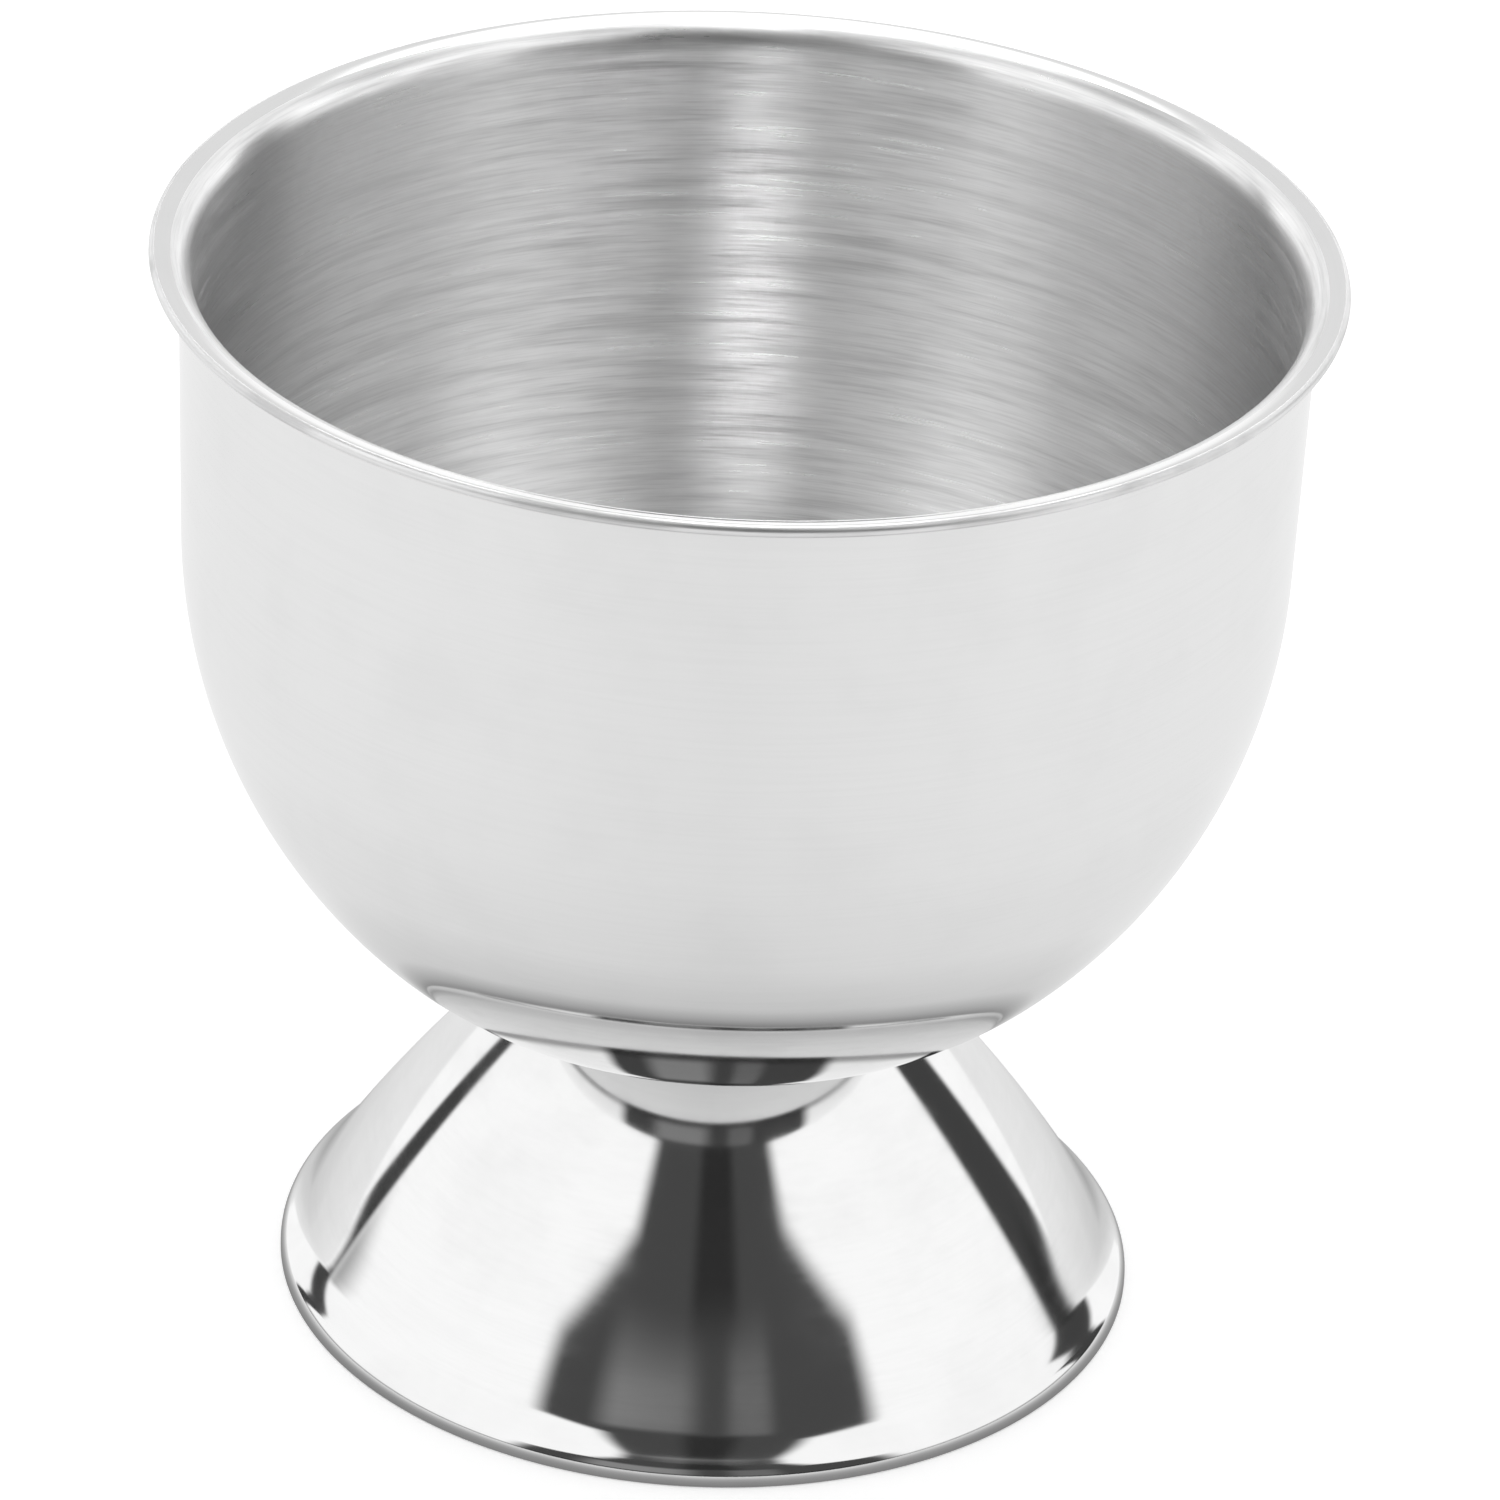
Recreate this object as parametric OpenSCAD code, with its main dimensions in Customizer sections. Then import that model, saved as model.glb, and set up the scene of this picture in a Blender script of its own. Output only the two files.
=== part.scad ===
// Footed egg cup in polished steel sheet. A deep round bowl with a turned-out lip
// stands on a hollow, slightly swelled cone, which spreads to a low upright rim. Each
// is pressed from one sheet of even thickness, and they meet at two flat discs, welded
// together.
// Sizes are in millimetres and angles in degrees. Z points up, and the origin is in
// the middle of the ring that the cup stands on.

/* [Bowl] */
// Outside diameter of the wall, just under the lip
bowl_d = 47.5; // [42:0.5:54]
// Width by which the turned-out lip stands out from the wall
lip_w = 1.25; // [1:0.05:4]
// Height from the flat underside of the bowl to the top of the lip
bowl_h = 34.3; // [31:0.1:42]
// Angle by which the wall draws in on its way down
wall_taper = 1; // [0:0.25:3]
// Outside radius of the long curve below the straight wall
side_r = 24.7; // [23:0.1:28]
// Outside radius of the tighter curve into the flat underside
bottom_r = 14; // [8:0.5:16]
// Diameter of the flat underside
bowl_flat_d = 13; // [8:0.5:14]
// Angle by which the lip rises on its way out
lip_rise = 13; // [0:1:30]
// Radius of the hollow bend under the lip
lip_bend_r = 0.6; // [0.2:0.1:0.8]
// Thickness of the bowl's sheet
bowl_sheet = 0.5; // [0.3:0.1:0.9]

/* [Foot] */
// Diameter across the upright rim that the cup stands on
foot_d = 37.6; // [34:0.2:44]
// Height of the foot, from the table to its flat top
foot_h = 14.9; // [12.4:0.1:18]
// Height of the upright rim, up to the bend above it
rim_h = 0.3; // [0.1:0.1:2]
// Inside radius of the bend between the rim and the ledge
rim_bend_r = 0.4; // [0.1:0.1:1]
// Angle by which the narrow ledge rises on its way in
ledge_rise = 40; // [25:1:48]
// Width of the ledge between that bend and the hollow, along its slope
ledge_w = 0.2; // [0.1:0.1:0.8]
// Outside radius of the broad hollow between the ledge and the cone
hollow_r = 4; // [2:0.5:6]
// Length of the cone's straight part, which rises from the hollow
cone_l = 1.5; // [0.5:0.5:4]
// Outside radius of the cone's gentle swell
swell_r = 75; // [60:1:200]
// Inside radius of the bend between the cone and the flat top
shoulder_r = 0.7; // [0.3:0.1:1.2]
// Width of the flat top that shows round the bowl's flat underside
seat_margin = 0.5; // [0.1:0.1:2]
// Thickness of the foot's sheet
foot_sheet = 0.5; // [0.3:0.1:0.8]

/* [Hidden] */
$fn = 180;

// The point at distance r from c, at angle a above the line that points outwards
function polar(c, r, a) = [c[0] + r * cos(a), c[1] + r * sin(a)];

// The angle, above the line that points outwards, at which p lies from c
function bearing(c, p) = atan2(p[1] - c[1], p[0] - c[0]);

// Bowl: heights of its underside and lip, and the lip's rounded edge
bowl_z = foot_h;
lip_z = bowl_z + bowl_h;
lip_edge_r = bowl_sheet / 2;
lip_edge_c = [bowl_d / 2 + lip_w - lip_edge_r, lip_z - lip_edge_r];
// The bend under the lip has its centre one radius off the wall's top. Between the bend
// and the edge, the middle of the sheet runs straight, for lip_flat_l.
lip_middle_r = lip_bend_r + lip_edge_r;
lip_bend_x = bowl_d / 2 + lip_bend_r * cos(wall_taper);
lip_flat_l = (lip_edge_c[0] - lip_bend_x + lip_middle_r * sin(lip_rise)) / cos(lip_rise);
lip_drop = lip_middle_r * cos(lip_rise) + lip_flat_l * sin(lip_rise);
lip_bend_c = [lip_bend_x, lip_edge_c[1] - lip_drop];
// The bottom's curve leaves the flat level. In a narrow bowl the wall limits it.
bottom_room_share = 0.93;
bottom_room = (bowl_d - bowl_flat_d) / 2 * bottom_room_share;
bottom_curve_r = min(bottom_r, bottom_room);
bottom_c = [bowl_flat_d / 2, bowl_z + bottom_curve_r];
// It lies inside the side's curve. Both have the same slope, join_a, where they meet,
// and the side's runs into the wall, which stands wall_reach away from bottom_c.
wall_reach = (lip_bend_c[0] - bottom_c[0]) * cos(wall_taper)
    - (lip_bend_c[1] - bottom_c[1]) * sin(wall_taper) - lip_bend_r;
join_a = wall_taper + acos((side_r - wall_reach) / (side_r - bottom_curve_r));
side_c = polar(bottom_c, side_r - bottom_curve_r, 180 - join_a);

// Foot: centres of the rim's bend, the hollow above the ledge and the shoulder
rim_edge_r = rim_bend_r + foot_sheet;
rim_edge_c = [foot_d / 2 - rim_edge_r, rim_h];
// The ledge's face looks up and outwards at ledge_a, and runs in at right angles to it
ledge_a = 90 - ledge_rise;
ledge_in_c = polar(rim_edge_c, ledge_w, 90 + ledge_a);
hollow_c = polar(ledge_in_c, rim_edge_r + hollow_r, ledge_a);
shoulder_edge_r = shoulder_r + foot_sheet;
shoulder_c = [bowl_flat_d / 2 + seat_margin, foot_h - shoulder_edge_r];
// The swell's centre follows from its distances to the hollow's and the shoulder's.
// The cone's straight part makes the first a little longer, and turns it by lean_a.
lean_a = atan(cone_l / (swell_r + hollow_r));
to_hollow = norm([cone_l, swell_r + hollow_r]);
to_shoulder = swell_r - shoulder_edge_r;
span = norm(shoulder_c - hollow_c);
span_a = acos((to_hollow ^ 2 + span ^ 2 - to_shoulder ^ 2) / (2 * to_hollow * span));
swell_c = polar(hollow_c, to_hollow, bearing(hollow_c, shoulder_c) + span_a);
// Slopes, as the angle of the face's normal, at the hollow and at the shoulder
hollow_a = bearing(swell_c, hollow_c) + lean_a;
shoulder_a = bearing(swell_c, shoulder_c);

// The part of a disc round c that lies outside the axis and between two heights
module disc_band(c, r, from_z, to_z) {
    intersection() {
        translate(c) circle(r);
        translate([0, from_z]) square([c[0] + r, to_z - from_z]);
    }
}

// Half section of the bowl as a filled form, with its faces moved inwards by depth
// and its open top moved up by depth. It ends at lip_foot, where the bend runs into
// the upper face of the lip.
module bowl_form(depth) {
    side_foot = polar(side_c, side_r - depth, -join_a);
    wall_foot = polar(side_c, side_r - depth, -wall_taper);
    wall_top = polar(lip_bend_c, lip_bend_r + depth, 180 - wall_taper);
    lip_foot = polar(lip_bend_c, lip_bend_r + bowl_sheet, 90 + lip_rise);
    open_z = lip_z + depth;
    disc_band(bottom_c, bottom_curve_r - depth, bowl_z, lip_z);
    disc_band(side_c, side_r - depth, side_foot[1], lip_z);
    difference() {
        polygon([
            [0, bowl_z + depth], [bottom_c[0], bowl_z + depth], bottom_c, wall_foot,
            wall_top, lip_bend_c, lip_foot, [lip_foot[0], open_z], [0, open_z],
        ]);
        translate(lip_bend_c) circle(lip_bend_r + depth);
    }
}

// Half section of the lip beyond its bend, with a rounded edge. It starts one bend's
// radius early, inside the bent sheet.
module lip_section() {
    translate(lip_edge_c) {
        circle(lip_edge_r);
        rotate(lip_rise) translate([-lip_flat_l - lip_bend_r, -lip_edge_r])
            square([lip_flat_l + lip_bend_r, bowl_sheet]);
    }
}

// The sheet is what lies between the form's outside and the same form one sheet in
module bowl_section() {
    difference() {
        union() {
            bowl_form(0);
            lip_section();
        }
        bowl_form(bowl_sheet);
    }
}

// Half section of the foot as a filled form, with its faces moved inwards by depth
// and its open underside moved down by depth
module foot_form(depth) {
    ledge_foot = polar(rim_edge_c, rim_edge_r - depth, ledge_a);
    ledge_top = polar(hollow_c, hollow_r + depth, 180 + ledge_a);
    cone_foot = polar(hollow_c, hollow_r + depth, 180 + hollow_a);
    cone_top = polar(swell_c, swell_r - depth, hollow_a);
    swell_top = polar(swell_c, swell_r - depth, shoulder_a);
    translate([0, -depth]) square([foot_d / 2 - depth, rim_edge_c[1] + depth]);
    disc_band(rim_edge_c, rim_edge_r - depth, 0, hollow_c[1]);
    difference() {
        polygon([
            [0, -depth], [rim_edge_c[0], -depth], rim_edge_c, ledge_foot, ledge_top,
            hollow_c, cone_foot, cone_top, [0, shoulder_c[1]],
        ]);
        translate(hollow_c) circle(hollow_r + depth);
    }
    disc_band(swell_c, swell_r - depth, cone_foot[1], swell_top[1]);
    disc_band(shoulder_c, shoulder_edge_r - depth, rim_h, foot_h);
    translate([0, -depth]) square([shoulder_c[0], foot_h]);
}

module foot_section() {
    difference() {
        foot_form(0);
        foot_form(foot_sheet);
    }
}

module bowl() {
    color("gainsboro") rotate_extrude() bowl_section();
}

module foot() {
    color("silver") rotate_extrude() foot_section();
}

bowl();
foot();
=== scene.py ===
"""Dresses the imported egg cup: two polished steel pressings in a white light tent."""
import logging
import math
from dataclasses import dataclass
from enum import Enum
from typing import Any, Sequence

import bpy
from mathutils import Matrix, Vector


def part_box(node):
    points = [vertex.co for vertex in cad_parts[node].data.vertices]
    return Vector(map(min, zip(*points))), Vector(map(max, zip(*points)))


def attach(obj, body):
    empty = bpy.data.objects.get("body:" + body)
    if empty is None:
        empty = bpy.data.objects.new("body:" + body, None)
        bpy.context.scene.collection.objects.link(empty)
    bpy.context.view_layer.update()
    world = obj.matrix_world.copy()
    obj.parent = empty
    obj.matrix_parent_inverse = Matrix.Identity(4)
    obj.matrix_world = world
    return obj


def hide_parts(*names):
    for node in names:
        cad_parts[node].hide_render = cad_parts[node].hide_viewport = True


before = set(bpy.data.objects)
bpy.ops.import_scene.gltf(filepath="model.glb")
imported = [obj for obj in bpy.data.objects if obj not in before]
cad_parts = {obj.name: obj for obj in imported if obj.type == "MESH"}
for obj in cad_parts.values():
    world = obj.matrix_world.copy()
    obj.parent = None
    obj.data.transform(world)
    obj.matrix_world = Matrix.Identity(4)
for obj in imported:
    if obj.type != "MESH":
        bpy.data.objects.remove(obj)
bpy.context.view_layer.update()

LOG = logging.getLogger("egg_cup")

MM = 0.001
DEGREES_PER_RADIAN = math.degrees(1)

Point = tuple[float, float]
Colour = tuple[float, float, float]
Socket = bpy.types.NodeSocket


class Operation(Enum):
    """What a Math node works out."""

    SUM = "ADD"
    DIFFERENCE = "SUBTRACT"
    PRODUCT = "MULTIPLY"
    QUOTIENT = "DIVIDE"
    SIZE = "ABSOLUTE"
    SMALLER = "MINIMUM"
    LARGER = "MAXIMUM"
    ROOT = "SQRT"
    BEARING = "ARCTAN2"
    RISE = "ARCSINE"


@dataclass(frozen=True)
class Value:
    """A number socket that takes part in Python expressions.

    Attributes:
        graph: The graph that further nodes are added to.
        socket: The socket that carries the number.
    """

    graph: "Graph"
    socket: Socket

    def __add__(self, other: "Number") -> "Value":
        """Returns self + other."""
        return self.graph.math(Operation.SUM, self, other)

    def __sub__(self, other: "Number") -> "Value":
        """Returns self - other."""
        return self.graph.math(Operation.DIFFERENCE, self, other)

    def __rsub__(self, other: float) -> "Value":
        """Returns other - self."""
        return self.graph.math(Operation.DIFFERENCE, other, self)

    def __mul__(self, other: "Number") -> "Value":
        """Returns self * other."""
        return self.graph.math(Operation.PRODUCT, self, other)

    def __truediv__(self, other: "Number") -> "Value":
        """Returns self / other."""
        return self.graph.math(Operation.QUOTIENT, self, other)

    def __abs__(self) -> "Value":
        """Returns the value without its sign."""
        return self.graph.math(Operation.SIZE, self)

    def least(self, other: "Number") -> "Value":
        """Returns the smaller of the two."""
        return self.graph.math(Operation.SMALLER, self, other)

    def most(self, other: "Number") -> "Value":
        """Returns the larger of the two."""
        return self.graph.math(Operation.LARGER, self, other)

    def eased(self, low: float, high: float, to_low: float = 0.0,
              to_high: float = 1.0) -> "Value":
        """Carries the value from one range to another, eased at both ends.

        Args:
            low: Where the first range starts.
            high: Where it ends.
            to_low: What low and everything under it becomes.
            to_high: What high and everything over it becomes.

        Returns:
            The carried value.
        """
        made = self.graph.node(
            "ShaderNodeMapRange",
            {"Value": self, "From Min": low, "From Max": high,
             "To Min": to_low, "To Max": to_high},
            interpolation_type="SMOOTHSTEP", clamp=True,
        )
        return Value(self.graph, made.outputs["Result"])


Number = Value | float


@dataclass(frozen=True)
class Pattern:
    """A noise pattern.

    Attributes:
        scale: Its lumps per unit of the vector that it is read at.
        detail: How many finer octaves it has.
        roughness: How strong those are.
        span: The noise that becomes 0 and the noise that becomes 1, or None to
            leave the noise as it is.
    """

    scale: float
    detail: float
    roughness: float
    span: tuple[float, float] | None = None


class Graph:
    """A shader node tree that is written as expressions."""

    MIX_FACTOR, MIX_FIRST, MIX_SECOND = 0, 6, 7
    MIX_RESULT = 2

    def __init__(self, tree: bpy.types.NodeTree) -> None:
        """Empties the tree.

        Args:
            tree: The tree of a material or the world.
        """
        self.tree = tree
        tree.nodes.clear()

    def node(self, kind: str, inputs: dict[str | int, Any] | None = None,
             **settings: Any) -> bpy.types.Node:
        """Adds a node, sets it, and then fills its inputs.

        Args:
            kind: The node's type.
            inputs: A number, colour, socket or Value for each input.
            settings: Properties of the node.

        Returns:
            The new node.
        """
        made = self.tree.nodes.new(kind)
        for name, value in settings.items():
            setattr(made, name, value)
        for name, value in (inputs or {}).items():
            if isinstance(value, Value):
                value = value.socket
            if isinstance(value, Socket):
                self.tree.links.new(value, made.inputs[name])
            else:
                made.inputs[name].default_value = value
        return made

    def math(self, operation: Operation, *values: Number) -> Value:
        """Adds a Math node.

        Args:
            operation: What it works out.
            values: Its inputs, in order.

        Returns:
            The result.
        """
        made = self.node("ShaderNodeMath", dict(enumerate(values)),
                         operation=operation.value)
        return Value(self, made.outputs["Value"])

    def place(self) -> Socket:
        """Returns the place on the object, in metres."""
        return self.node("ShaderNodeTexCoord").outputs["Object"]

    def split(self, vector: Socket) -> tuple[Value, Value, Value]:
        """Returns the three parts of a vector."""
        made = self.node("ShaderNodeSeparateXYZ", {"Vector": vector})
        return tuple(Value(self, made.outputs[name]) for name in "XYZ")

    def joined(self, x: Number, y: Number, z: Number) -> Socket:
        """Returns the vector made of three numbers."""
        return self.node("ShaderNodeCombineXYZ",
                         {"X": x, "Y": y, "Z": z}).outputs["Vector"]

    def from_axis(self, x: Value, y: Value) -> Value:
        """Returns the distance from the Z axis."""
        return self.math(Operation.ROOT, x * x + y * y)

    def noise(self, vector: Socket, pattern: Pattern) -> Value:
        """Adds a noise pattern.

        Args:
            vector: Where the pattern is read.
            pattern: The pattern.

        Returns:
            The noise, carried to 0 to 1 where the pattern has a span.
        """
        made = self.node(
            "ShaderNodeTexNoise",
            {"Vector": vector, "Scale": pattern.scale, "Detail": pattern.detail,
             "Roughness": pattern.roughness},
            noise_dimensions="3D",
        )
        noise = Value(self, made.outputs["Fac"])
        return noise.eased(*pattern.span) if pattern.span else noise

    def ramp(self, place: Value, stops: Sequence[tuple[float, float]]) -> Value:
        """Reads a grey off a ramp.

        Args:
            place: Where on the ramp it is read, from 0 to 1.
            stops: The place and the grey of each stop.

        Returns:
            The grey.
        """
        made = self.node("ShaderNodeValToRGB", {"Fac": place})
        elements = made.color_ramp.elements
        while len(elements) < len(stops):
            elements.new(1.0)
        for element, (position, grey) in zip(elements, stops):
            element.position = position
            element.color = (grey, grey, grey, 1.0)
        return Value(self, made.outputs["Color"])

    def blended(self, factor: Value, first: Colour, second: Colour) -> Socket:
        """Blends two colours.

        Args:
            factor: 0 for the first colour, 1 for the second.
            first: The first colour.
            second: The second colour.

        Returns:
            The blended colour.
        """
        made = self.node(
            "ShaderNodeMix",
            {self.MIX_FACTOR: factor, self.MIX_FIRST: (*first, 1.0),
             self.MIX_SECOND: (*second, 1.0)},
            data_type="RGBA",
        )
        return made.outputs[self.MIX_RESULT]

    def mixed(self, factor: Socket, first: Socket, second: Socket) -> Socket:
        """Mixes two shaders.

        Args:
            factor: 0 for the first shader, 1 for the second.
            first: The first shader.
            second: The second shader.

        Returns:
            The mixed shader.
        """
        return self.node("ShaderNodeMixShader",
                         {0: factor, 1: first, 2: second}).outputs["Shader"]


def new_material(name: str) -> tuple[bpy.types.Material, Graph]:
    """Adds a material with an empty graph.

    Args:
        name: The material's name.

    Returns:
        The material and its graph.
    """
    material = bpy.data.materials.new(name)
    material.use_nodes = True
    return material, Graph(material.node_tree)


@dataclass(frozen=True)
class TurnedSteel:
    """Steel with fine marks that run round the axis, as turning and buffing leave them.

    Attributes:
        name: The material's name.
        bright: Its colour between the marks.
        dull: Its colour in the marks and smudges.
        roughness: Its least roughness.
        mark_roughness: What the marks and smudges add to it.
        anisotropy: How much further the gloss spreads across the marks than along.
        mark_width: Width of the finest marks.
        mark_depth: Height of the marks in the bump.
        ripple: Height of the broad ripples that pressing leaves.
        mark_share: How much of the dull colour the marks show.
        smudge_share: How much of it the smudges show.
    """

    name: str
    bright: Colour
    dull: Colour
    roughness: float
    mark_roughness: float
    anisotropy: float
    mark_width: float
    mark_depth: float
    ripple: float
    mark_share: float
    smudge_share: float

    SMUDGES = Pattern(scale=190.0, detail=4.0, roughness=0.55, span=(0.42, 0.72))
    RIPPLES = Pattern(scale=95.0, detail=1.0, roughness=0.5)
    BROAD_MARKS = Pattern(scale=1.0, detail=3.0, roughness=0.6, span=(0.4, 0.7))
    FINE_MARKS = Pattern(scale=1.0, detail=2.0, roughness=0.7, span=(0.35, 0.75))
    # How often the marks break up on their way round, and how much oftener fine ones do
    BREAKS_ROUND = 2.2
    FINE_BREAKS = 3.0
    # Broad lines for each fine one, and how much of the marks each kind makes up
    BROAD_LINES = 0.2
    BROAD_SHARE = 0.55
    FINE_SHARE = 0.45
    # What the fine marks add to the height, and the quarter turn from along to across
    FINE_HEIGHT = 0.5
    ACROSS_MARKS = 0.25

    def made(self) -> bpy.types.Material:
        """Builds the material.

        Returns:
            The finished material.
        """
        material, graph = new_material(self.name)
        place = graph.place()
        marks, fine = self._marks(graph, place)
        smudges = graph.noise(place, self.SMUDGES)
        dull = (marks * self.mark_share + smudges * self.smudge_share).least(1.0)
        # With a distance of 1, the bump's height is in metres
        bump = graph.node("ShaderNodeBump", {
            "Strength": 1.0,
            "Distance": 1.0,
            "Height": marks * self.mark_depth
                      + fine * (self.mark_depth * self.FINE_HEIGHT)
                      + graph.noise(place, self.RIPPLES) * self.ripple,
        })
        steel = graph.node("ShaderNodeBsdfPrincipled", {
            "Base Color": graph.blended(dull, self.bright, self.dull),
            "Metallic": 1.0,
            "Roughness": dull * self.mark_roughness + self.roughness,
            "Anisotropic": self.anisotropy,
            "Anisotropic Rotation": self.ACROSS_MARKS,
            "Normal": bump.outputs["Normal"],
        }, distribution="MULTI_GGX")
        graph.node("ShaderNodeOutputMaterial", {"Surface": steel.outputs["BSDF"]})
        return material

    def _marks(self, graph: Graph, place: Socket) -> tuple[Value, Value]:
        """Makes the marks, which run round the axis and break up along their length.

        Args:
            graph: The material's graph.
            place: The place on the object.

        Returns:
            All marks together and the fine ones alone, each from 0 to 1.
        """
        x, y, z = graph.split(place)
        radius = graph.from_axis(x, y).most(MM)
        line = (z + radius) / self.mark_width
        round_x = x / radius * self.BREAKS_ROUND
        round_y = y / radius * self.BREAKS_ROUND
        broad = graph.noise(graph.joined(round_x, round_y, line * self.BROAD_LINES),
                            self.BROAD_MARKS)
        fine = graph.noise(graph.joined(round_x * self.FINE_BREAKS,
                                        round_y * self.FINE_BREAKS, line),
                           self.FINE_MARKS)
        return broad * self.BROAD_SHARE + fine * self.FINE_SHARE, fine


MIRROR = TurnedSteel(
    name="mirror_polished_steel", bright=(0.80, 0.80, 0.80), dull=(0.76, 0.76, 0.76),
    roughness=0.035, mark_roughness=0.05, anisotropy=0.3, mark_width=0.05 * MM,
    mark_depth=0.00002 * MM, ripple=0.004 * MM, mark_share=0.4, smudge_share=0.5,
)
# Ring brushing is real; the bright colour, lighter than the same steel outside, is
# painted light that brightens the inside.
BRUSHED = TurnedSteel(
    name="ring_brushed_steel", bright=(0.96, 0.96, 0.96), dull=(0.75, 0.75, 0.75),
    roughness=0.27, mark_roughness=0.14, anisotropy=0.95, mark_width=0.12 * MM,
    mark_depth=0.0009 * MM, ripple=0.004 * MM, mark_share=1.1, smudge_share=0.15,
)
RUBBED = TurnedSteel(
    name="rubbed_edge_steel", bright=(0.88, 0.88, 0.88), dull=(0.70, 0.70, 0.70),
    roughness=0.36, mark_roughness=0.2, anisotropy=0.0, mark_width=0.05 * MM,
    mark_depth=0.0012 * MM, ripple=0.004 * MM, mark_share=0.7, smudge_share=0.7,
)
BUFFED = TurnedSteel(
    name="buffed_steel", bright=(0.80, 0.80, 0.80), dull=(0.74, 0.74, 0.74),
    roughness=0.06, mark_roughness=0.06, anisotropy=0.3, mark_width=0.05 * MM,
    mark_depth=0.00003 * MM, ripple=0.018 * MM, mark_share=0.4, smudge_share=0.6,
)


def polar(centre: Point, radius: float, degrees: float) -> Point:
    """Finds a point from its distance and direction.

    Args:
        centre: Where the distance is measured from.
        radius: The distance.
        degrees: The direction, above the line that points outwards.

    Returns:
        The point.
    """
    angle = math.radians(degrees)
    return (centre[0] + radius * math.cos(angle),
            centre[1] + radius * math.sin(angle))


def bearing(start: Point, end: Point) -> float:
    """Finds the direction from one point to another.

    Args:
        start: The point that it is seen from.
        end: The point that is seen.

    Returns:
        The direction, in degrees above the line that points outwards.
    """
    return math.degrees(math.atan2(end[1] - start[1], end[0] - start[0]))


@dataclass(frozen=True)
class Arc:
    """Part of a circle in a half section, with x as the distance from the axis.

    Attributes:
        centre: Its centre.
        radius: Its radius.
        start: The angle it starts at, in degrees above the outward line.
        end: The angle it ends at.
        turn: The most that it turns between two points, in degrees.
    """

    centre: Point
    radius: float
    start: float
    end: float
    turn: float

    LEAST_STEPS = 8

    def points(self) -> list[Point]:
        """Returns the arc's points, both ends included."""
        swept = self.end - self.start
        steps = max(self.LEAST_STEPS, math.ceil(abs(swept) / self.turn))
        return [polar(self.centre, self.radius, self.start + swept * i / steps)
                for i in range(steps + 1)]


def filled_in(corners: Sequence[Point], spacing: float) -> list[Point]:
    """Adds points along long straight stretches, so that shading stays even there.

    Args:
        corners: The outline's points.
        spacing: The most that two points may lie apart.

    Returns:
        The outline, without repeated points and with its long stretches divided.
    """
    same_point = 1e-9
    outline = [corners[0]]
    for corner in corners[1:]:
        before = outline[-1]
        length = math.dist(before, corner)
        if length < same_point:
            continue
        steps = max(1, math.ceil(length / spacing))
        outline += [(before[0] + (corner[0] - before[0]) * i / steps,
                     before[1] + (corner[1] - before[1]) * i / steps)
                    for i in range(1, steps + 1)]
    return outline


class Zone(Enum):
    """Part of a pressing's surface, by the place of its finish in the list."""

    OUTSIDE = 0
    INSIDE = 1
    EDGE = 2


@dataclass
class Pressing:
    """A round piece pressed from one sheet. Its half section is spun about the axis.

    Attributes:
        node: The CAD node that it stands for.
        slot: A material slot of the record. It is not used.
        finishes: The finish of each zone that it has, in the order of Zone.
        sheet: Thickness of the sheet.
        spacing: The most that two points of the section may lie apart.
    """

    node: str
    slot: str
    finishes: tuple[TurnedSteel, ...]
    sheet: float = 0.5 * MM
    spacing: float = 0.5 * MM

    STEPS_ROUND = 320
    # Points this close, in metres, become one where the spin ends
    SEAM_GAP = 0.5e-6
    CREASE_DEGREES = 40

    def section(self) -> list[Point]:
        """Returns the half section, from the axis round the sheet and back to it."""
        raise NotImplementedError

    def zone(self, face: bpy.types.MeshPolygon) -> Zone:
        """Finds the zone of a face. A piece with one finish is outside all over.

        Args:
            face: A face of the built piece.

        Returns:
            The zone that it lies in.
        """
        return Zone.OUTSIDE

    def built(self) -> bpy.types.Object:
        """Draws the half section, spins it and joins it to the frame.

        Returns:
            The finished piece, still without its material.
        """
        piece = self._drawn(filled_in(self.section(), self.spacing))
        bpy.ops.object.mode_set(mode="EDIT")
        bpy.ops.mesh.select_all(action="SELECT")
        bpy.ops.mesh.spin(steps=self.STEPS_ROUND, angle=2 * math.pi,
                          center=(0, 0, 0), axis=(0, 0, 1))
        bpy.ops.mesh.select_all(action="SELECT")
        bpy.ops.mesh.remove_doubles(threshold=self.SEAM_GAP)
        bpy.ops.mesh.normals_make_consistent(inside=False)
        bpy.ops.mesh.select_all(action="DESELECT")
        bpy.ops.object.mode_set(mode="OBJECT")
        bpy.ops.object.shade_smooth_by_angle(angle=math.radians(self.CREASE_DEGREES))
        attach(piece, "root")
        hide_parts(self.node)
        return piece

    def _drawn(self, outline: Sequence[Point]) -> bpy.types.Object:
        """Draws the half section as a string of edges, by extruding one corner.

        Args:
            outline: The section's points.

        Returns:
            The object that holds the edges.
        """
        bpy.ops.object.select_all(action="DESELECT")
        bpy.ops.mesh.primitive_plane_add(size=MM, location=(0, 0, 0))
        piece = bpy.context.object
        piece.name = piece.data.name = f"{self.node}_pressing"
        bpy.ops.object.mode_set(mode="EDIT")
        bpy.ops.mesh.select_all(action="SELECT")
        bpy.ops.mesh.merge(type="CENTER")
        here, *others = outline
        bpy.ops.transform.translate(value=(here[0], 0, here[1]))
        for point in others:
            step = (point[0] - here[0], 0, point[1] - here[1])
            bpy.ops.mesh.extrude_region_move(TRANSFORM_OT_translate={"value": step})
            here = point
        bpy.ops.object.mode_set(mode="OBJECT")
        return piece

    def dress(self, piece: bpy.types.Object) -> None:
        """Gives each face of the piece its finish.

        Args:
            piece: The built piece.
        """
        for finish in self.finishes:
            piece.data.materials.append(finish.made())
        for face in piece.data.polygons:
            face.material_index = self.zone(face).value


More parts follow.
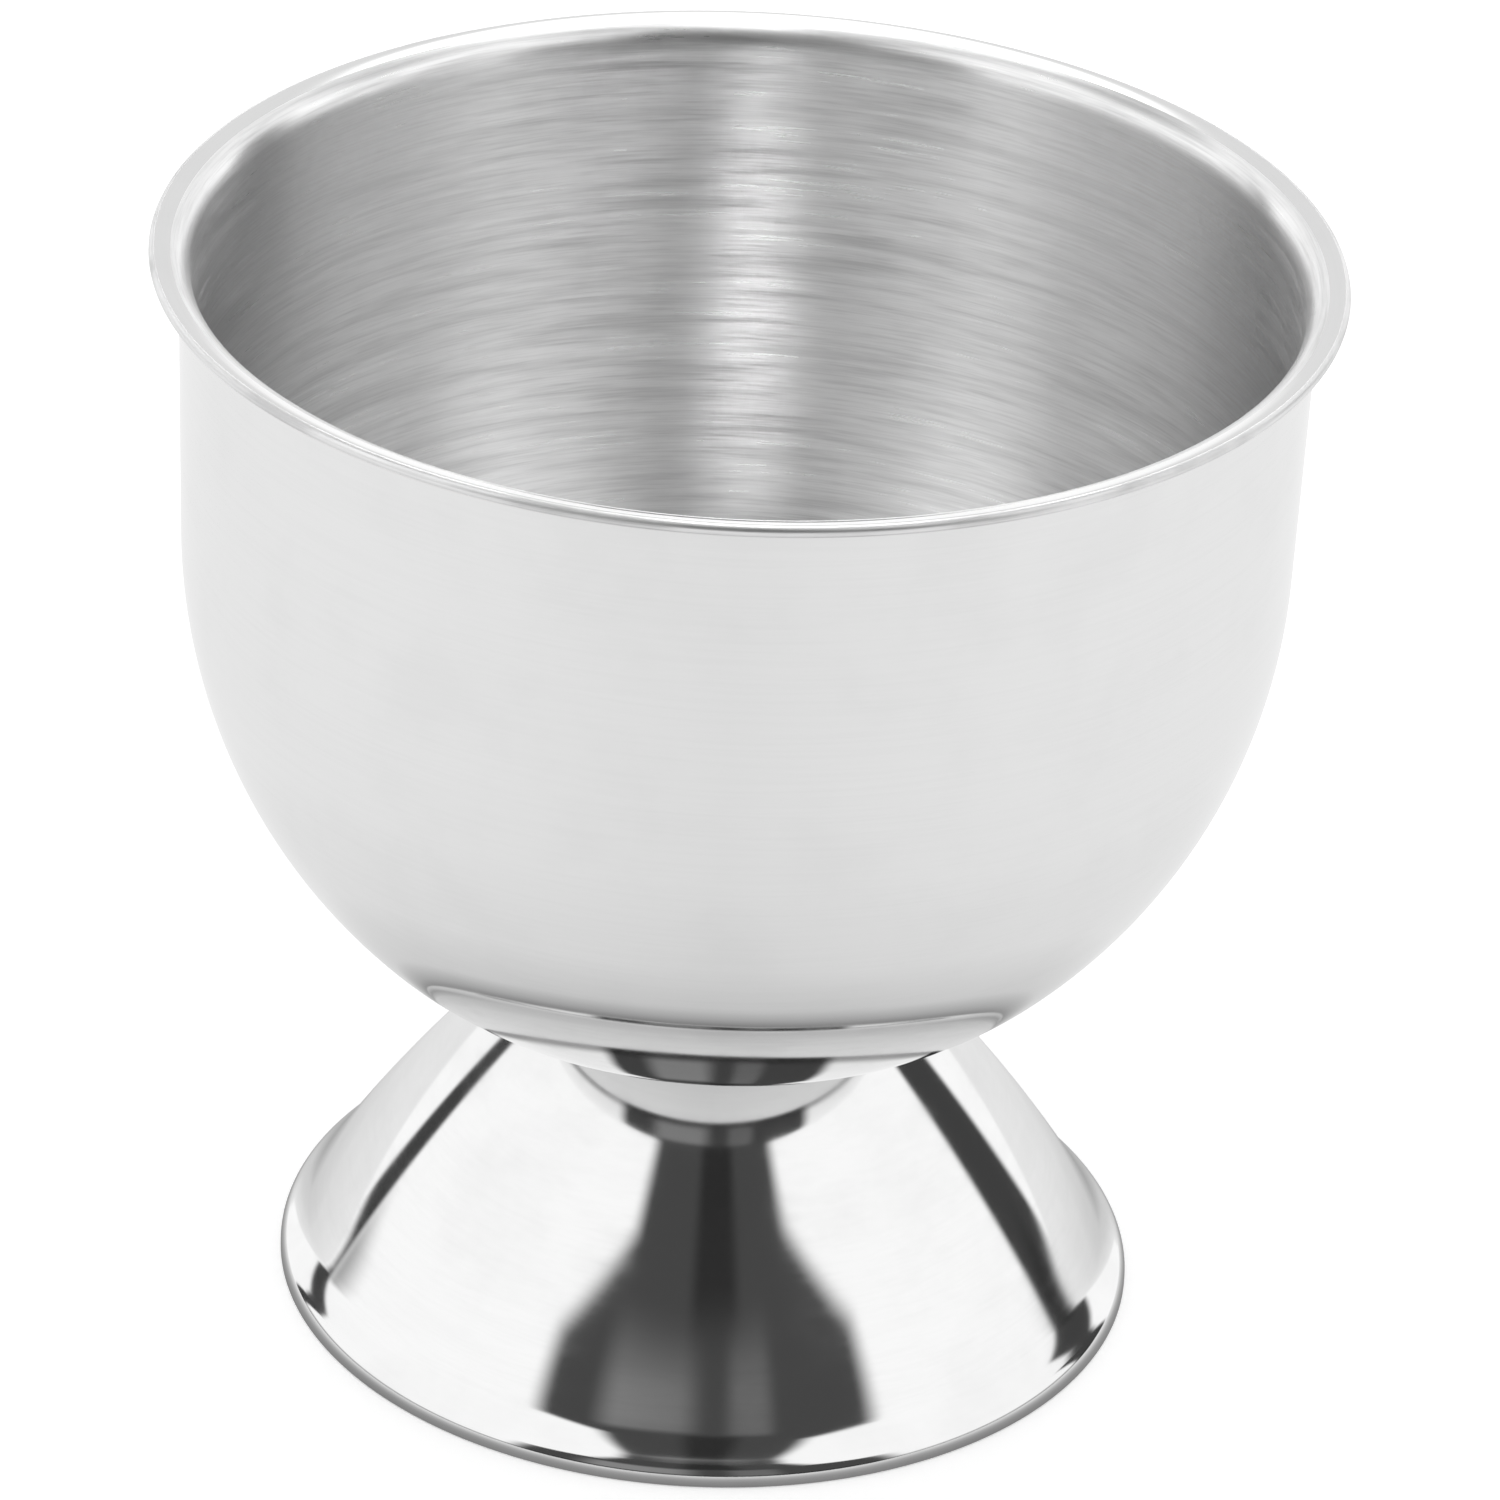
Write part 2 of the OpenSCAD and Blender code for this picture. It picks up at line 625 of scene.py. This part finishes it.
@dataclass
class Bowl(Pressing):
    """The deep bowl with its turned-out lip.

    Attributes:
        wall_d: Outside diameter of the wall, just under the lip.
        taper: Angle by which the wall draws in on its way down, in degrees.
        side_r: Outside radius of the long curve below the wall.
        bottom_r: Outside radius of the tighter curve into the flat underside.
        flat_d: Diameter of the flat underside.
        lip_bend_r: Radius of the hollow bend under the lip.
        lip_rise: Angle by which the lip rises on its way out, in degrees.
    """

    wall_d: float = 47.5 * MM
    taper: float = 1.0
    side_r: float = 24.7 * MM
    bottom_r: float = 14.0 * MM
    flat_d: float = 13.0 * MM
    lip_bend_r: float = 0.6 * MM
    lip_rise: float = 13.0

    BOTTOM_TURN = 2.0
    SIDE_TURN = 1.5
    LIP_BEND_TURN = 9.0
    LIP_EDGE_TURN = 18.0
    # A face is inside where it looks at the middle of the mouth more directly than this
    INSIDE_FACING = 0.3

    def __post_init__(self) -> None:
        """Takes the bowl's outer sizes from the frame."""
        low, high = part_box(self.node)
        self.base_z, self.lip_z = low[2], high[2]
        self.lip_r = (high[0] - low[0]) / 2

    def section(self) -> list[Point]:
        """Returns the half section: outside from the axis up, lip, and inside down."""
        lean = math.radians(self.taper)
        rise = math.radians(self.lip_rise)
        # Lip: its rounded edge, the bend under it, and the straight part between them
        edge_r = self.sheet / 2
        edge = (self.lip_r - edge_r, self.lip_z - edge_r)
        middle_r = self.lip_bend_r + edge_r
        bend_x = self.wall_d / 2 + self.lip_bend_r * math.cos(lean)
        flat = (edge[0] - bend_x + middle_r * math.sin(rise)) / math.cos(rise)
        bend = (bend_x, edge[1] - middle_r * math.cos(rise) - flat * math.sin(rise))
        # Bottom and side: the angle at which their curves have the same slope
        bottom = (self.flat_d / 2, self.base_z + self.bottom_r)
        reach = ((bend[0] - bottom[0]) * math.cos(lean)
                 - (bend[1] - bottom[1]) * math.sin(lean) - self.lip_bend_r)
        apart = self.side_r - self.bottom_r
        join = self.taper + math.degrees(math.acos((self.side_r - reach) / apart))
        side = polar(bottom, apart, 180 - join)

        def face(depth: float) -> list[Point]:
            """Returns one face of the sheet, from the axis to the lip."""
            return [(0.0, self.base_z + depth),
                    *Arc(bottom, self.bottom_r - depth, -90, -join,
                         self.BOTTOM_TURN).points(),
                    *Arc(side, self.side_r - depth, -join, -self.taper,
                         self.SIDE_TURN).points(),
                    *Arc(bend, self.lip_bend_r + depth, 180 - self.taper,
                         90 + self.lip_rise, self.LIP_BEND_TURN).points()]

        rounded = Arc(edge, edge_r, self.lip_rise - 90, self.lip_rise + 90,
                      self.LIP_EDGE_TURN)
        return [*face(0.0), *rounded.points(), *reversed(face(self.sheet))]

    def zone(self, face: bpy.types.MeshPolygon) -> Zone:
        """Tells the inside and the lip's rounded edge from the outside.

        Args:
            face: A face of the built bowl.

        Returns:
            The zone that it lies in.
        """
        inwards = (Vector((0, 0, self.lip_z)) - face.center).normalized()
        if face.normal.dot(inwards) > self.INSIDE_FACING:
            return Zone.INSIDE
        if face.center.xy.length > self.lip_r - self.sheet / 2:
            return Zone.EDGE
        return Zone.OUTSIDE


@dataclass
class Foot(Pressing):
    """The hollow foot: a swelled cone that spreads to a low upright rim.

    Attributes:
        rim_h: Height of the upright rim, up to the bend above it.
        rim_bend_r: Inside radius of the bend between the rim and the ledge.
        ledge_rise: Angle by which the narrow ledge rises on its way in, in degrees.
        ledge_w: Width of the ledge, along its slope.
        hollow_r: Outside radius of the broad hollow between the ledge and the cone.
        cone_l: Length of the cone's straight part.
        swell_r: Outside radius of the cone's swell.
        shoulder_bend_r: Inside radius of the bend into the flat top.
        top_d: Diameter of the flat top.
        worn_r: Radius to which the standing edge is worn.
    """

    rim_h: float = 0.3 * MM
    rim_bend_r: float = 0.4 * MM
    ledge_rise: float = 40.0
    ledge_w: float = 0.2 * MM
    hollow_r: float = 4.0 * MM
    cone_l: float = 1.5 * MM
    swell_r: float = 75.0 * MM
    shoulder_bend_r: float = 0.7 * MM
    top_d: float = 14.0 * MM
    worn_r: float = 0.12 * MM

    RIM_TURN = 5.0
    HOLLOW_TURN = 2.0
    SWELL_TURN = 0.5
    SHOULDER_TURN = 6.0
    WORN_TURN = 15.0

    def __post_init__(self) -> None:
        """Takes the foot's outer sizes from the frame."""
        low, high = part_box(self.node)
        self.top_z = high[2]
        self.rim_r = (high[0] - low[0]) / 2

    def section(self) -> list[Point]:
        """Returns the half section: inside from the axis down, rim, and outside up."""
        # Centres of the rim's bend, of the hollow and of the shoulder
        edge_r = self.rim_bend_r + self.sheet
        edge = (self.rim_r - edge_r, self.rim_h)
        ledge_a = 90 - self.ledge_rise
        ledge_in = polar(edge, self.ledge_w, 90 + ledge_a)
        hollow = polar(ledge_in, edge_r + self.hollow_r, ledge_a)
        shoulder_r = self.shoulder_bend_r + self.sheet
        shoulder = (self.top_d / 2, self.top_z - shoulder_r)
        # The swell's centre follows from its distances to the last two
        curves = self.swell_r + self.hollow_r
        lean = math.degrees(math.atan(self.cone_l / curves))
        to_hollow = math.hypot(self.cone_l, curves)
        to_shoulder = self.swell_r - shoulder_r
        span = math.dist(shoulder, hollow)
        spread = math.degrees(math.acos(
            (to_hollow ** 2 + span ** 2 - to_shoulder ** 2) / (2 * to_hollow * span)))
        swell = polar(hollow, to_hollow, bearing(hollow, shoulder) + spread)
        hollow_a = bearing(swell, hollow) + lean
        shoulder_a = bearing(swell, shoulder)

        def face(depth: float) -> list[Point]:
            """Returns one face of the sheet, from the rim to the axis."""
            return [*Arc(edge, edge_r - depth, 0, ledge_a, self.RIM_TURN).points(),
                    *Arc(hollow, self.hollow_r + depth, 180 + ledge_a,
                         180 + hollow_a, self.HOLLOW_TURN).points(),
                    *Arc(swell, self.swell_r - depth, hollow_a, shoulder_a,
                         self.SWELL_TURN).points(),
                    *Arc(shoulder, shoulder_r - depth, shoulder_a, 90,
                         self.SHOULDER_TURN).points(),
                    (0.0, self.top_z - depth)]

        worn = self.worn_r
        inner = (self.rim_r - self.sheet + worn, worn)
        outer = (self.rim_r - worn, worn)
        return [*reversed(face(self.sheet)),
                *Arc(inner, worn, 180, 270, self.WORN_TURN).points(),
                *Arc(outer, worn, 270, 360, self.WORN_TURN).points(),
                *face(0.0)]


@dataclass(frozen=True)
class TentPart:
    """A part of the tent that the steel shows darker or brighter than the rest.

    Attributes:
        azimuth: Direction of its middle, in degrees from +X towards +Y.
        half_width: Half its width, in degrees.
        low: Elevation of its lower edge, in degrees.
        high: Elevation of its upper edge.
        soft: How far its edges fade to either side, in degrees.
        shade: How bright it shows, where the rest of the tent is 1.
        knee: Elevation above which it narrows.
        narrowing: What half its width loses for each degree above that.
        waist: The least that narrowing leaves of half its width.
    """

    azimuth: float
    half_width: float
    low: float
    high: float
    soft: float
    shade: float
    knee: float = 90.0
    narrowing: float = 0.0
    waist: float = 0.0

    def factor(self, graph: Graph, x: Value, y: Value, rise: Value) -> Value:
        """Works out what the part multiplies the light from a direction by.

        Args:
            graph: The world's graph.
            x: The direction's X.
            y: The direction's Y.
            rise: The direction's elevation, in degrees.

        Returns:
            1 outside the part, and its shade inside.
        """
        middle = math.radians(self.azimuth)
        ahead = x * math.cos(middle) + y * math.sin(middle)
        aside = y * math.cos(middle) - x * math.sin(middle)
        away = abs(graph.math(Operation.BEARING, aside, ahead)) * DEGREES_PER_RADIAN
        lost = ((rise.most(self.knee) - self.knee) * self.narrowing).least(
            self.half_width - self.waist)
        across = (away + lost).eased(self.half_width - self.soft,
                                     self.half_width + self.soft, 1.0, 0.0)
        above = rise.eased(self.low - self.soft, self.low + self.soft)
        below = rise.eased(self.high - self.soft, self.high + self.soft, 1.0, 0.0)
        return 1.0 - across * above * below * (1.0 - self.shade)


@dataclass(frozen=True)
class Studio:
    """The white tent and its pale floor. The cup shadows the floor round its foot; in
    the steel the floor shows painted shadow round the foot and painted light at the
    cup's sides.

    Attributes:
        floor_side: Side of the floor.
        floor_shade: Colour of the floor.
        floor_glow: What the floor adds towards the camera, so that it shows white.
        tent_shade: How bright the tent shows in the steel.
        painted_floor_shade: Distances from the axis, and the floor's painted shade
            there in the steel: painted shadow near the foot.
        painted_side_light: How much brighter the floor shows at the cup's sides in the
            steel, as painted light.
        parts: The parts of the tent that differ from the rest. First come those in
            front of the cup, then those behind it and above it, and last the two
            that the foot shows as stripes.
    """

    floor_side: float = 3.0
    floor_shade: float = 0.98
    floor_glow: float = 0.26
    tent_shade: float = 1.18
    # Painted shadow: in the steel the floor glows darker towards the foot.
    painted_floor_shade: tuple[tuple[float, float], ...] = (
        (18.5 * MM, 0.20), (19.8 * MM, 0.42), (22 * MM, 0.66), (30 * MM, 0.80),
        (50 * MM, 0.87), (110 * MM, 0.91),
    )
    # Painted light: in the steel the floor glows brighter at the cup's sides.
    painted_side_light: float = 0.09
    parts: tuple[TentPart, ...] = (
        TentPart(azimuth=-87, half_width=48, low=-2, high=67, soft=4, shade=0.06,
                 knee=31, narrowing=1.6, waist=31),
        TentPart(azimuth=-85, half_width=8, low=37, high=66, soft=3, shade=0.4),
        TentPart(azimuth=-104, half_width=13, low=4, high=33, soft=5, shade=4.0),
        TentPart(azimuth=-74, half_width=6, low=4, high=35, soft=3, shade=2.4),
        TentPart(azimuth=-90, half_width=120, low=-3, high=5, soft=3, shade=0.35),
        TentPart(azimuth=88, half_width=18, low=46, high=95, soft=6, shade=3.6),
        TentPart(azimuth=90, half_width=36, low=12, high=42, soft=4, shade=0.75),
        TentPart(azimuth=138, half_width=26, low=45, high=95, soft=6, shade=0.05),
        TentPart(azimuth=38, half_width=24, low=45, high=95, soft=6, shade=0.1),
        TentPart(azimuth=-90, half_width=122, low=68, high=95, soft=6, shade=0.4),
        TentPart(azimuth=146.5, half_width=3.5, low=1, high=26, soft=1, shade=0.05),
        TentPart(azimuth=29.5, half_width=8, low=1, high=26, soft=1.5, shade=0.05),
    )

    def build(self) -> None:
        """Lays the floor and hangs the tent."""
        self._lay_floor()
        self._hang_tent()

    def _lay_floor(self) -> None:
        """Adds the floor, a matt sheet. In the steel it glows instead, with painted
        shadow near the cup and painted light at its sides.
        """
        bpy.ops.object.select_all(action="DESELECT")
        bpy.ops.mesh.primitive_plane_add(size=self.floor_side, location=(0, 0, 0))
        floor = bpy.context.object
        floor.name = "floor"
        material, graph = new_material("floor_sheet")
        ray = graph.node("ShaderNodeLightPath").outputs
        grey = (self.floor_shade, self.floor_shade, self.floor_shade, 1.0)
        matt = graph.node("ShaderNodeBsdfDiffuse", {"Color": grey}).outputs["BSDF"]
        glow = graph.node("ShaderNodeEmission", {"Strength": self.floor_glow})
        bright = graph.node("ShaderNodeAddShader",
                            {0: matt, 1: glow.outputs["Emission"]})
        seen = graph.mixed(ray["Is Camera Ray"], matt, bright.outputs["Shader"])
        # In the steel the floor is a glow with painted shade, not a lit sheet.
        in_steel = graph.node("ShaderNodeEmission",
                              {"Color": self._painted_floor_in_steel(graph)})
        shader = graph.mixed(ray["Is Glossy Ray"], seen, in_steel.outputs["Emission"])
        graph.node("ShaderNodeOutputMaterial", {"Surface": shader})
        floor.data.materials.append(material)

    def _painted_floor_in_steel(self, graph: Graph) -> Socket:
        """Works out the painted shade that the steel shows of the floor: painted shadow
        towards the foot, painted light at the cup's sides.

        Args:
            graph: The floor's graph.

        Returns:
            The shade as a colour.
        """
        x, y, _ = graph.split(graph.place())
        away = graph.from_axis(x, y)
        reach = self.painted_floor_shade[-1][0]
        # Painted shadow: darker towards the foot.
        shade = graph.ramp(away / reach,
                           [(place / reach, grey) for place, grey in self.painted_floor_shade])
        # Painted light: brighter at the cup's sides.
        shade = shade * (abs(x) / away * self.painted_side_light + 1.0)
        return graph.joined(shade, shade, shade)

    def _hang_tent(self) -> None:
        """Makes the world a plain white tent. Only the steel shows its parts."""
        world = bpy.data.worlds.new("tent")
        bpy.context.scene.world = world
        world.use_nodes = True
        graph = Graph(world.node_tree)
        x, y, z = graph.split(graph.node("ShaderNodeTexCoord").outputs["Generated"])
        rise = graph.math(Operation.RISE, z) * DEGREES_PER_RADIAN
        shown: Number = self.tent_shade
        for part in self.parts:
            shown = part.factor(graph, x, y, rise) * shown
        in_steel = Value(graph,
                         graph.node("ShaderNodeLightPath").outputs["Is Glossy Ray"])
        light = graph.node("ShaderNodeBackground", {
            "Color": (1.0, 1.0, 1.0, 1.0),
            "Strength": shown * in_steel + (1.0 - in_steel),
        })
        graph.node("ShaderNodeOutputWorld", {"Surface": light.outputs["Background"]})


@dataclass(frozen=True)
class PhotoCamera:
    """The camera of the photograph.

    Attributes:
        photo_px: Side of the photograph, in pixels.
        focal_px: Focal length, in pixels of the photograph.
        distance: From the camera to the target.
        target_z: Height of the target on the cup's axis.
        elevation: Angle at which the camera looks down, in degrees.
        pan_px: How far the target stands right of the picture's middle.
        tilt_px: How far it stands above the picture's middle.
        roll: Angle by which the picture leans, in degrees.
        sensor: Width of the sensor, in millimetres.
        nearest: The nearest that the camera sees.
    """

    photo_px: float = 1500.0
    focal_px: float = 7977.0
    distance: float = 344 * MM
    target_z: float = 24 * MM
    elevation: float = 29.14
    pan_px: float = -23.0
    tilt_px: float = -31.3
    roll: float = 2.75
    sensor: float = 36.0
    nearest: float = 10 * MM

    def build(self) -> None:
        """Adds the camera and makes it the scene's."""
        lens = bpy.data.cameras.new("photo_camera")
        lens.sensor_width = self.sensor
        lens.lens = self.sensor * self.focal_px / self.photo_px
        lens.clip_start = self.nearest
        camera = bpy.data.objects.new("photo_camera", lens)
        bpy.context.scene.collection.objects.link(camera)
        camera.matrix_world = self._pose()
        bpy.context.scene.camera = camera

    def _pose(self) -> Matrix:
        """Works out the camera's place and turn.

        Returns:
            The camera's matrix.
        """
        rise = math.radians(self.elevation)
        pan = math.atan(self.pan_px / self.focal_px)
        tilt = math.atan(self.tilt_px / self.focal_px)
        roll = math.radians(self.roll)
        back = Vector((0, -math.cos(rise), math.sin(rise)))
        place = Vector((0, 0, self.target_z)) + back * self.distance
        aim = Matrix.Rotation(math.pi / 2 - rise, 4, "X")
        return (Matrix.Translation(place) @ aim @ Matrix.Rotation(pan, 4, "Y")
                @ Matrix.Rotation(-tilt, 4, "X") @ Matrix.Rotation(roll, 4, "Z"))


def main() -> None:
    """Builds the camera, the studio and the cup."""
    logging.basicConfig(level=logging.INFO, format="%(name)s: %(message)s")
    bpy.context.scene.view_settings.view_transform = "Standard"
    PhotoCamera().build()
    Studio().build()
    for pressing in (Bowl("bowl", "bowl_steel", (MIRROR, BRUSHED, RUBBED)),
                     Foot("foot", "foot_steel", (BUFFED,))):
        piece = pressing.built()
        pressing.dress(piece)
        LOG.info("%s: %d faces", piece.name, len(piece.data.polygons))


if __name__ == "__main__":
    main()
